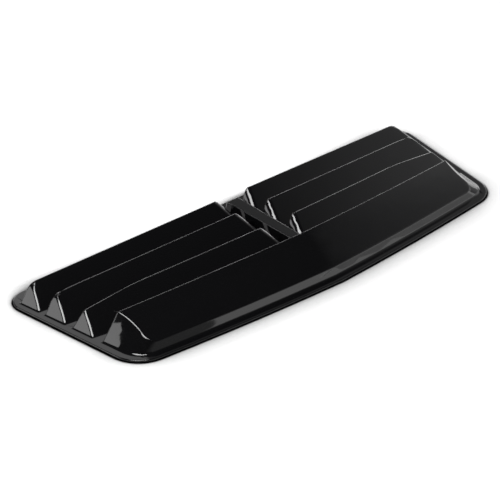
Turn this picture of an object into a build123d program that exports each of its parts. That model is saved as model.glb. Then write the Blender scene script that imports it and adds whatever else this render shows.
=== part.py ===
from build123d import *
import math
import os

# Vented bonnet scoop: one moulded sheet with a flat fixing flange, two banks of
# louvres that open to the rear, a bridge between the banks and a smooth cowl in front.
# +X runs across the car, +Y to the rear of the car and +Z up from the bonnet, in millimetres.
# The right half is modelled and mirrored, so the centre keeps its slight vee.

# Flange
panel_length = 700.0
panel_depth = 248.0
sheet = 3.0
ledge = 0.8
end_taper = 9.9
rear_corner_radius = 26.0
front_corner_radius = 46.0
front_setback = 23.9
front_vee = 0.515

# Ridges: each one bows to the front and falls from the centre to the ends
span = 300.0
ridge_vee = 0.5
ridge_fall = 9.5
lip_width = 1.6

# Louvres, from the rear one to the front one: where the lip runs at the centre and at the
# span's end, then where the sloping top runs out at the flange
lip_centre = (94.0, 52.0, 2.3)
lip_end = (105.3, 65.0, 21.5)
toe_centre = (46.7, -3.0, -55.0)
toe_end = (67.3, 23.8, -21.0)
louvre_height = 34.5
lip_overhang = (0.30, 0.38, 0.40)
louvre_swell = 0.7
end_flange_rear = 9.6
end_flange_front = 12.5
end_lean = 45.0
lip_end_radius = 25.0
inner_foot = 11.5
inner_lean = 20.0
inner_end_radius = 12.0

# Cowl
cowl_lip_centre = -51.5
cowl_lip_end = -27.5
cowl_height = 41.5
cowl_overhang = 0.30
cowl_swell = 2.0
cowl_corner_radius = 30.0
front_flange = 12.0
front_wall_height = 7.5
front_wall_lean = 20.0
cowl_end_lean_rear = 39.0
cowl_end_lean_front = 61.0
cowl_edge_radius = 2.5

# Bridge between the two banks
bridge_height = 27.2
bridge_width_rear = 19.0
bridge_width_front = 14.0
bridge_rear = 92.0
bridge_rear_lean = 12.0
bridge_draft = 5.0
bridge_tuck = 12.0

# Room that cutting shapes run past what they cut
spare = 12.0

rear_y = panel_depth / 2
front_y = -panel_depth / 2
above = cowl_height + spare
below = -sheet


def tan(angle):
    return math.tan(math.radians(angle))


def cos(angle):
    return math.cos(math.radians(angle))


def vee_curve(share, t):
    """A half ridge's run from the centre: part straight vee, part curve."""
    return share * t + (1 - share) * t * t


def between(centre, end, x):
    return centre + (end - centre) * vee_curve(ridge_vee, x / span)


def ridge(height, x):
    return between(height, height - ridge_fall, x)


def closed(points):
    return Face(Wire(Polyline(*points, close=True).edges()))


# Flange plate
taper = tan(end_taper)
rear_half = panel_length / 2 + rear_corner_radius * (taper + math.hypot(1, taper) - 1)
corner_y = front_y + front_setback


def flange_end(y):
    return rear_half - (rear_y - y) * taper


def foot_end(y):
    """Line on which the sloping ends of louvres and cowl stand."""
    share = (y - front_y) / panel_depth
    return flange_end(y) - end_flange_front - (end_flange_rear - end_flange_front) * share


corner_x = flange_end(corner_y)


def front_line(x):
    return front_y + front_setback * vee_curve(front_vee, x / corner_x)


def front_arc(x, offset, z):
    points = [(s * x, front_line(s * x) + offset, z) for s in (0, 0.5, 1)]
    return ThreePointArc(*points)


def flange_plate():
    right = front_arc(corner_x, 0, 0)
    left = mirror(right, Plane.YZ)
    right_end = Line((corner_x, corner_y), (rear_half, rear_y))
    rear = Line((rear_half, rear_y), (-rear_half, rear_y))
    left_end = Line((-rear_half, rear_y), (-corner_x, corner_y))
    face = Face(Wire([*right.edges(), *right_end.edges(), *rear.edges(), *left_end.edges(), *left.edges()]))
    face = face.fillet_2d(rear_corner_radius, face.vertices().group_by(Axis.Y)[-1])
    front = [v for v in face.vertices() if abs(v.Y - corner_y) < sheet and abs(v.X) > span]
    face = face.fillet_2d(front_corner_radius, front)
    return extrude(face, amount=sheet, dir=(0, 0, 1))


# Louvres
OUTSIDE = 0.0
HOLLOW = sheet
OPENING = sheet + ledge


def blade_section(x, lip, toe, top, toe_height, overhang, swell, inset):
    """Leaning back, flat lip and swelling top that runs down through the toe.

    Inset by the sheet it is the hollow, open past the lip. Inset by the ledge too it is
    the opening in the flange, which stops short of the lip's foot."""
    front = lip - lip_width
    foot = lip - overhang * (top - sheet)
    slope = (top - toe_height) / (front - toe)
    length = math.hypot(1, slope)

    def surface(y):
        return top + slope * (y - front) - inset * length

    def back(z):
        return foot + overhang * (z - sheet)

    floor = below
    if inset == OUTSIDE:
        floor = sheet / 2
        peak = front + lip_width / 2
        rear = [(back(surface(peak)), surface(peak)), (back(floor), floor)]
    elif inset == HOLLOW:
        peak = lip
        rear = [(back(surface(peak)) + spare, surface(peak)), (back(floor) + spare, floor)]
    else:
        peak = foot - ledge
        rear = [(peak, floor)]
    start = front + (floor + inset * length - top) / slope
    middle = (start + peak) / 2
    bulge = (x, middle - swell * slope / length, surface(middle) + swell / length)
    corners = [(x, y, z) for y, z in [(peak, surface(peak)), *rear, (start, floor)]]
    return Face(Wire([*Polyline(*corners).edges(), *ThreePointArc(corners[-1], bulge, corners[0]).edges()]))


def louvre_section(k, x, inset):
    lip = between(lip_centre[k], lip_end[k], x)
    toe = between(toe_centre[k], toe_end[k], x)
    return blade_section(x, lip, toe, ridge(louvre_height, x), sheet, lip_overhang[k], louvre_swell, inset)


def end_form(k, inset):
    """Space inside louvre k's sloping outer end and, for the outside, under its ridge."""
    y = lip_end[k] + spare
    inside = -spare
    foot = foot_end(y) - inset / cos(end_lean)
    low_end = (foot + tan(end_lean) * (sheet - below), y, below)
    low_inside = (inside, y, below)
    if inset == OUTSIDE:
        shoulder = foot - tan(end_lean) * (ridge(louvre_height, foot) - sheet)
        stations = (inside, (inside + shoulder) / 2, shoulder)
        points = [(x, y, ridge(louvre_height, x)) for x in stations]
        sides = Polyline(points[-1], low_end, low_inside, points[0]).edges()
        face = Face(Wire([*ThreePointArc(*points).edges(), *sides]))
        corner = [v for v in face.vertices() if abs(v.X - shoulder) < sheet and v.Z > sheet]
        face = face.fillet_2d(lip_end_radius, corner)
    else:
        shoulder = foot - tan(end_lean) * (above - sheet)
        face = closed([(inside, y, above), (shoulder, y, above), low_end, low_inside])
    reach = lip_end[k] - toe_centre[k] + 3 * spare
    along = Vector(foot_end(y - reach) - foot_end(y), -reach, 0)
    return extrude(face, amount=along.length, dir=along)


def inner_form(k, inset):
    """Space outside louvre k's steep inner end, which runs parallel to its outer end."""
    lip = lip_centre[k] + spare
    foot = inner_foot + taper * spare + inset / cos(inner_lean)
    low = foot - tan(inner_lean) * (above + sheet)
    high = foot + tan(inner_lean) * (above - sheet)
    corners = [(low, -above), (high, above), (panel_length, above), (panel_length, -above)]
    face = closed([(x, lip, z) for x, z in corners])
    return extrude(face, amount=panel_depth, dir=(-taper, -1, 0))


def louvre(k, inset):
    body = loft([louvre_section(k, x, inset) for x in (0, panel_length / 4, panel_length / 2)])
    body = body & end_form(k, inset) & inner_form(k, inset)
    if inset == OPENING:
        return body & beside(bank_hollow + ledge)
    creases = [
        e
        for e in body.edges()
        if e.bounding_box().max.X < span / 4 and e.bounding_box().size.Y > louvre_height
        and e.bounding_box().max.Z > louvre_height / 2
    ]
    body = fillet(creases, inner_end_radius - 2 * inset)
    return body & beside(bank_hollow if inset == HOLLOW else bank_edge)


# Cowl
def cowl_section(x, inset):
    lip = between(cowl_lip_centre, cowl_lip_end, x)
    toe = front_line(x) + front_flange
    toe_height = sheet + front_wall_height
    return blade_section(x, lip, toe, ridge(cowl_height, x), toe_height, cowl_overhang, cowl_swell, inset)


def cowl_outline(z, inset):
    """Right half of the cowl's walls at height z: steep in front, sloping at the end."""
    rear = cowl_lip_end + spare
    rise = z - sheet
    front_shift = front_flange + rise * tan(front_wall_lean) + inset / cos(front_wall_lean)
    rear_x = foot_end(rear) - rise * tan(cowl_end_lean_rear) - inset / cos(cowl_end_lean_rear)
    front_x = foot_end(corner_y) - rise * tan(cowl_end_lean_front) - inset / cos(cowl_end_lean_front)
    slant = (rear_x - front_x) / (rear - corner_y)
    x = front_x
    for step in range(12):
        y = front_line(x) + front_shift
        x = front_x + slant * (y - corner_y)
    front = front_arc(x, front_shift, z)
    sides = Polyline((x, y, z), (rear_x, rear, z), (0, rear, z), (0, front_y + front_shift, z)).edges()
    face = Face(Wire([*front.edges(), *sides]))
    corner = [v for v in face.vertices() if abs(v.X - x) < sheet and abs(v.Y - y) < sheet]
    return face.fillet_2d(cowl_corner_radius - inset, corner)


def cowl(inset):
    low = sheet / 2 if inset == OUTSIDE else below
    walls = loft([cowl_outline(low, inset), cowl_outline(above, inset)], ruled=True)
    body = loft([cowl_section(x, inset) for x in (0, panel_length / 4, panel_length / 2)]) & walls
    if inset != OUTSIDE:
        return body
    creases = [
        e
        for e in body.edges()
        if e.bounding_box().min.Y < cowl_lip_centre - spare and e.bounding_box().min.Z > 1.5 * sheet
        and e.bounding_box().max.X > sheet
    ]
    return fillet(creases, cowl_edge_radius)


# Bridge
def bridge_half(y):
    share = (y - front_y) / (bridge_rear - front_y)
    return (bridge_width_front + (bridge_width_rear - bridge_width_front) * share) / 2


def bridge(inset):
    low = sheet / 2 if inset == OUTSIDE else below
    top = bridge_height - inset
    front = cowl_lip_centre - bridge_tuck + inset
    rear = bridge_rear - inset
    sections = []
    for y in (front, rear_y):
        half = bridge_half(y) - inset
        spread = half + tan(bridge_draft) * (bridge_height - low)
        corners = [(-spread, low), (-half, bridge_height), (half, bridge_height), (spread, low)]
        sections.append(closed([(x, y, z) for x, z in corners]))
    run = tan(bridge_rear_lean) * (top - low)
    side = [(front, low), (front, top), (rear, top), (rear + run, low)]
    profile = closed([(-span, y, z) for y, z in side])
    return loft(sections, ruled=True) & extrude(profile, amount=2 * span, dir=(1, 0, 0))


def both(shape):
    return [shape, mirror(shape, Plane.YZ)]


def beside(x):
    """Space to the right of a line along the car."""
    return Pos(x, 0, 0) * Box(panel_length, panel_depth, 2 * above, align=(Align.MIN, Align.CENTER, Align.CENTER))


bridge_foot = tan(bridge_draft) * bridge_height
web = bridge_half(cowl_lip_centre) + bridge_foot
bank_edge = (bridge_width_rear + bridge_width_front) / 4 + ledge
bank_hollow = bridge_width_rear / 2 + bridge_foot + ledge

panel = flange_plate() - bridge(OPENING)
panel = panel - both(cowl(OPENING) & beside(web + ledge))
shells = [bridge(OUTSIDE) - bridge(HOLLOW)]
shells += both(cowl(OUTSIDE) - (cowl(HOLLOW) & beside(web)))
for k in range(len(lip_centre)):
    panel = panel - both(louvre(k, OPENING))
    shells += both(louvre(k, OUTSIDE) - louvre(k, HOLLOW))
panel = panel + shells

os.makedirs("parts", exist_ok=True)
export_step(panel, "parts/scoop_panel.step")
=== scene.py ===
import math
import bmesh
import bpy
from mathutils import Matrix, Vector


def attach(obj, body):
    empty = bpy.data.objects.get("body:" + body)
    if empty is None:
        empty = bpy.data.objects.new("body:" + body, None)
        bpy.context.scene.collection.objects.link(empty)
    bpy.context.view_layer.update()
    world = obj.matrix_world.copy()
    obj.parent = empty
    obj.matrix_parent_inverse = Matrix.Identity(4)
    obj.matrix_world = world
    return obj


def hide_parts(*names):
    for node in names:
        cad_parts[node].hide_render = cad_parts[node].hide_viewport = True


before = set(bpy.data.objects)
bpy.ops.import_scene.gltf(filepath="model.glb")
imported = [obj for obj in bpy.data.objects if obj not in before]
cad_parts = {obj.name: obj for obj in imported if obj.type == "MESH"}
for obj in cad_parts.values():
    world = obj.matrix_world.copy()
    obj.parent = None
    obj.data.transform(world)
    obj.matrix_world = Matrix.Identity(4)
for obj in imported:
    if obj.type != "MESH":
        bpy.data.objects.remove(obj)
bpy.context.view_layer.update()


# Scoop panel
# The whole scoop is one thermoformed sheet of gloss black plastic: flange, bridge, six louvres
# and cowl. Its creases are rounded as the heated sheet draws over the mould's edges.
merge_gap = 0.00002
flat_turn = math.radians(0.02)
crease_turn = math.radians(24)
crease_round = 0.0020
crease_steps = 3
lip_share = 0.3
rim_share = 0.6
edge_share = 0.15
flange_top = 0.003
level_face = 0.99
upright_face = 0.1

panel_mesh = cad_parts["scoop_panel"].data.copy()
panel_mesh.name = "gloss_panel"
bm = bmesh.new()
bm.from_mesh(panel_mesh)
bmesh.ops.remove_doubles(bm, verts=bm.verts, dist=merge_gap)
bmesh.ops.dissolve_limit(bm, angle_limit=flat_turn, verts=bm.verts, edges=bm.edges)
for face in bm.faces:
    face.smooth = True
round_share = bm.edges.layers.float.new("bevel_weight_edge")
for edge in bm.edges:
    if edge.calc_face_angle(0) > crease_turn:
        leans = sorted(face.normal.z for face in edge.link_faces)
        lift = min(vert.co.z for vert in edge.verts) - flange_top
        if leans[1] > level_face and lift > flange_top:
            edge[round_share] = lip_share
        elif leans[1] > level_face and leans[0] < upright_face:
            edge[round_share] = rim_share
        elif leans[0] > upright_face:
            edge[round_share] = 1.0
        else:
            edge[round_share] = edge_share
bm.to_mesh(panel_mesh)
bm.free()
panel = bpy.data.objects.new("gloss_panel", panel_mesh)
bpy.context.scene.collection.objects.link(panel)
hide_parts("scoop_panel")
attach(panel, "root")

rounded = panel.modifiers.new("rounded_creases", "BEVEL")
rounded.limit_method = "WEIGHT"
rounded.width = crease_round
rounded.segments = crease_steps
rounded.profile = 0.5
rounded.use_clamp_overlap = False
rounded.material = -1
even = panel.modifiers.new("even_gloss", "WEIGHTED_NORMAL")
even.mode = "FACE_AREA"
even.weight = 50
even.keep_sharp = True

black_colour = (0.004, 0.004, 0.0045, 1)
plastic_ior = 1.5
haze_scale = 14.0
haze_detail = 3.0
haze_range = (0.3, 0.7)
polish_range = (0.025, 0.06)
drawn_radius = 0.002

black = bpy.data.materials.new("gloss_black_plastic")
black.use_nodes = True
nodes = black.node_tree.nodes
links = black.node_tree.links
shader = nodes["Principled BSDF"]
shader.inputs["Base Color"].default_value = black_colour
shader.inputs["IOR"].default_value = plastic_ior
place = nodes.new("ShaderNodeTexCoord")
haze = nodes.new("ShaderNodeTexNoise")
haze.inputs["Scale"].default_value = haze_scale
haze.inputs["Detail"].default_value = haze_detail
links.new(place.outputs["Object"], haze.inputs["Vector"])
polish = nodes.new("ShaderNodeMapRange")
polish.inputs["From Min"].default_value = haze_range[0]
polish.inputs["From Max"].default_value = haze_range[1]
polish.inputs["To Min"].default_value = polish_range[0]
polish.inputs["To Max"].default_value = polish_range[1]
links.new(haze.outputs["Fac"], polish.inputs["Value"])
links.new(polish.outputs["Result"], shader.inputs["Roughness"])
drawn_edge = nodes.new("ShaderNodeBevel")
drawn_edge.samples = 8
drawn_edge.inputs["Radius"].default_value = drawn_radius
links.new(drawn_edge.outputs["Normal"], shader.inputs["Normal"])
panel_mesh.materials.clear()
panel_mesh.materials.append(black)


# Floor
# A plain white studio sweep under the scoop, matt, wide enough to fill the picture. It brightens
# into the distance and carries a painted shadow: ambient occlusion darkens its colour and glow
# close round the scoop.
floor_radius = 30.0
floor_white = 0.8
sweep_start = 0.8
sweep_end = 4.0
near_glow = 0.4
far_glow = 1.0
shadow_reach = 0.055
shadow_full = 0.84

bm = bmesh.new()
bmesh.ops.create_circle(bm, cap_ends=True, segments=64, radius=floor_radius)
floor_mesh = bpy.data.meshes.new("studio_floor")
bm.to_mesh(floor_mesh)
bm.free()
floor = bpy.data.objects.new("studio_floor", floor_mesh)
bpy.context.scene.collection.objects.link(floor)

white = bpy.data.materials.new("white_floor")
white.use_nodes = True
nodes = white.node_tree.nodes
links = white.node_tree.links
shader = nodes["Principled BSDF"]
shader.inputs["Roughness"].default_value = 1.0
shader.inputs["Specular IOR Level"].default_value = 0.0
path = nodes.new("ShaderNodeLightPath")
seen = nodes.new("ShaderNodeMath")
seen.operation = "MAXIMUM"
links.new(path.outputs["Is Camera Ray"], seen.inputs[0])
links.new(path.outputs["Is Glossy Ray"], seen.inputs[1])
place = nodes.new("ShaderNodeTexCoord")
away = nodes.new("ShaderNodeVectorMath")
away.operation = "LENGTH"
links.new(place.outputs["Object"], away.inputs[0])
sweep = nodes.new("ShaderNodeMapRange")
sweep.inputs["From Min"].default_value = sweep_start
sweep.inputs["From Max"].default_value = sweep_end
sweep.inputs["To Min"].default_value = near_glow
sweep.inputs["To Max"].default_value = far_glow
links.new(away.outputs["Value"], sweep.inputs["Value"])
# Painted shadow: ambient occlusion from the scoop darkens the floor's colour and glow close round
# it.
open_floor = nodes.new("ShaderNodeAmbientOcclusion")
open_floor.samples = 32
open_floor.inputs["Distance"].default_value = shadow_reach
shadow = nodes.new("ShaderNodeMapRange")
shadow.inputs["From Min"].default_value = shadow_full
shadow.inputs["From Max"].default_value = 1.0
links.new(open_floor.outputs["AO"], shadow.inputs["Value"])
# The floor's white, darkened by the painted shadow.
shadowed_white = nodes.new("ShaderNodeMath")
shadowed_white.operation = "MULTIPLY"
shadowed_white.inputs[1].default_value = floor_white
links.new(shadow.outputs["Result"], shadowed_white.inputs[0])
links.new(shadowed_white.outputs[0], shader.inputs["Base Color"])
glow = nodes.new("ShaderNodeMath")
glow.operation = "MULTIPLY"
links.new(seen.outputs[0], glow.inputs[0])
links.new(sweep.outputs["Result"], glow.inputs[1])
# The floor's glow, darkened by the painted shadow.
shadowed_glow = nodes.new("ShaderNodeMath")
shadowed_glow.operation = "MULTIPLY"
links.new(glow.outputs[0], shadowed_glow.inputs[0])
links.new(shadow.outputs["Result"], shadowed_glow.inputs[1])
shader.inputs["Emission Color"].default_value = (1, 1, 1, 1)
links.new(shadowed_glow.outputs[0], shader.inputs["Emission Strength"])
floor_mesh.materials.append(white)


# Studio light
# Softboxes overhead and at the left, screens at the right and rear and low strips at the rear and
# front draw the highlights. Round the table stands a low white wall in an otherwise dim room.
def softbox(name, centre, aim, width, depth, radiance):
    lamp = bpy.data.lights.new(name, "AREA")
    lamp.shape = "RECTANGLE"
    lamp.size = width
    lamp.size_y = depth
    lamp.energy = radiance * math.pi * width * depth
    box = bpy.data.objects.new(name, lamp)
    box.location = centre
    box.rotation_mode = "QUATERNION"
    box.rotation_quaternion = (Vector(aim) - Vector(centre)).to_track_quat("-Z", "Y")
    box.visible_camera = False
    bpy.context.scene.collection.objects.link(box)
    return lamp


middle = (0.0, 0.0, 0.0)
softbox("overhead_softbox", (-0.45, 0.0, 2.0), (-0.45, 0.0, 0.0), 1.1, 0.6, 14.0)
softbox("left_softbox", (-2.15, 1.28, 1.47), middle, 1.6, 1.45, 3.2)
screen = softbox("right_screen", (2.87, -0.387, 1.71), (0.0, -0.1, 0.0), 3.0, 3.0, 0.6)
softbox("rear_strip", (1.75, 2.45, 0.75), middle, 4.0, 1.1, 2.5)
softbox("rear_screen", (1.1, 2.6, 1.9), (-0.3, 0.0, 0.0), 1.0, 1.1, 0.9)
softbox("front_strip", (2.15, -2.15, 0.35), middle, 2.87, 0.7, 1.3)

fade_start = 0.4
screen.use_nodes = True
nodes = screen.node_tree.nodes
links = screen.node_tree.links
across = nodes.new("ShaderNodeNewGeometry")
upward = nodes.new("ShaderNodeSeparateXYZ")
links.new(across.outputs["Parametric"], upward.inputs[0])
fade = nodes.new("ShaderNodeMapRange")
fade.inputs["From Min"].default_value = fade_start
fade.inputs["From Max"].default_value = 1.0
fade.inputs["To Min"].default_value = 1.0
fade.inputs["To Max"].default_value = 0.0
links.new(upward.outputs["Y"], fade.inputs["Value"])
links.new(fade.outputs["Result"], nodes["Emission"].inputs["Strength"])

room_glow = 0.03
wall_glow = 0.35
wall_top = 0.36
room_start = 0.75
world = bpy.data.worlds.new("studio_room")
bpy.context.scene.world = world
world.use_nodes = True
nodes = world.node_tree.nodes
links = world.node_tree.links
room = nodes["Background"]
room.inputs["Color"].default_value = (1, 1, 1, 1)
outlook = nodes.new("ShaderNodeTexCoord")
height = nodes.new("ShaderNodeSeparateXYZ")
links.new(outlook.outputs["Generated"], height.inputs[0])
wall = nodes.new("ShaderNodeMapRange")
wall.inputs["From Min"].default_value = wall_top
wall.inputs["From Max"].default_value = room_start
wall.inputs["To Min"].default_value = wall_glow
wall.inputs["To Max"].default_value = room_glow
links.new(height.outputs["Z"], wall.inputs["Value"])
links.new(wall.outputs["Result"], room.inputs["Strength"])
open_white = nodes.new("ShaderNodeBackground")
open_white.inputs["Color"].default_value = (1, 1, 1, 1)
open_white.inputs["Strength"].default_value = 1.0
choose = nodes.new("ShaderNodeMixShader")
path = nodes.new("ShaderNodeLightPath")
links.new(path.outputs["Is Camera Ray"], choose.inputs["Fac"])
links.new(room.outputs[0], choose.inputs[1])
links.new(open_white.outputs[0], choose.inputs[2])
links.new(choose.outputs[0], nodes["World Output"].inputs["Surface"])


# Camera
# It stands in front and to the left of the scoop and looks down on it through a long lens.
camera_place = (-1.3207, -1.4517, 1.2081)
camera_aim = (0.5598, 0.639, -0.5276)
sensor_mm = 36.0
lens_mm = 125.28
camera_data = bpy.data.cameras.new("product_camera")
camera_data.sensor_width = sensor_mm
camera_data.lens = lens_mm
camera = bpy.data.objects.new("product_camera", camera_data)
camera.location = camera_place
camera.rotation_mode = "QUATERNION"
camera.rotation_quaternion = Vector(camera_aim).to_track_quat("-Z", "Y")
bpy.context.scene.collection.objects.link(camera)
bpy.context.scene.camera = camera

bpy.context.scene.view_settings.view_transform = "Standard"
